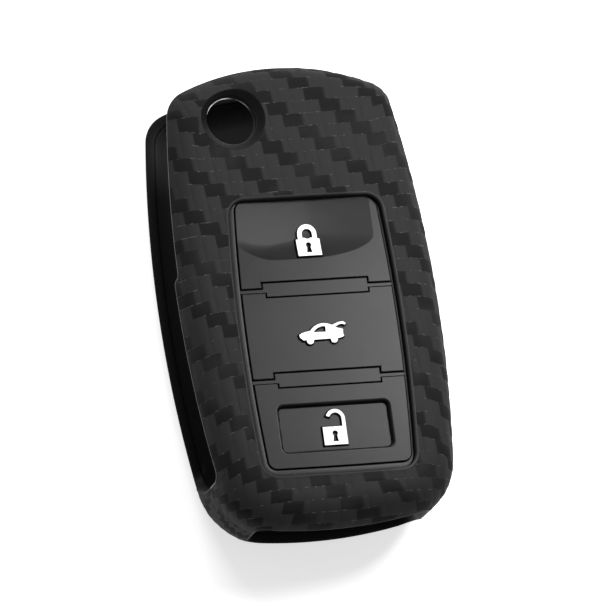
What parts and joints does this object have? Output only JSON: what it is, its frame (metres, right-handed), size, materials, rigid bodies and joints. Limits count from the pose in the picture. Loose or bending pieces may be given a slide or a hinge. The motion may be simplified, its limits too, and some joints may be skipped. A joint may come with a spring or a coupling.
{
  "type": "key fob cover",
  "caption": "Stretch silicone sleeve for a folding car key, with a twill-embossed shell, a sunk panel of press keys, a release-button hole, a blade mouth and a key-ring slot.",
  "frame": {"origin": "middle of the cover's length and width, on the flat of its back", "axes": "+Z out of the button side, +Y towards the end with the release hole, +X to the right as the buttons are read"},
  "size_m": [0.0391, 0.0696, 0.018],
  "materials": {
    "sleeve_silicone": "matte black moulded silicone, embossed with a twill weave",
    "keypad_silicone": "smooth satin dark grey silicone",
    "symbol_white": "raised symbol with a white top and dark sides"
  },
  "bodies": {
    "sleeve": {"sleeve": "sleeve_silicone", "keypad_frame": "keypad_silicone", "lock_web": "keypad_silicone", "trunk_web": "keypad_silicone", "unlock_web": "keypad_silicone"},
    "lock_key": {"lock_key": "keypad_silicone", "lock_symbol": "symbol_white"},
    "trunk_key": {"trunk_key": "keypad_silicone", "trunk_symbol": "symbol_white"},
    "unlock_key": {"unlock_key": "keypad_silicone", "unlock_symbol": "symbol_white"}
  },
  "joints": [
    {"name": "lock_press", "type": "slide", "parent": "sleeve", "child": "lock_key", "axis": [0, 0, -1], "range_m": [0, 0.0008], "stiffness_N_per_m": 2500, "deforming": ["lock_web"]},
    {"name": "trunk_press", "type": "slide", "parent": "sleeve", "child": "trunk_key", "axis": [0, 0, -1], "range_m": [0, 0.0008], "stiffness_N_per_m": 2500, "deforming": ["trunk_web"]},
    {"name": "unlock_press", "type": "slide", "parent": "sleeve", "child": "unlock_key", "axis": [0, 0, -1], "range_m": [0, 0.0008], "stiffness_N_per_m": 2500, "deforming": ["unlock_web"]}
  ]
}
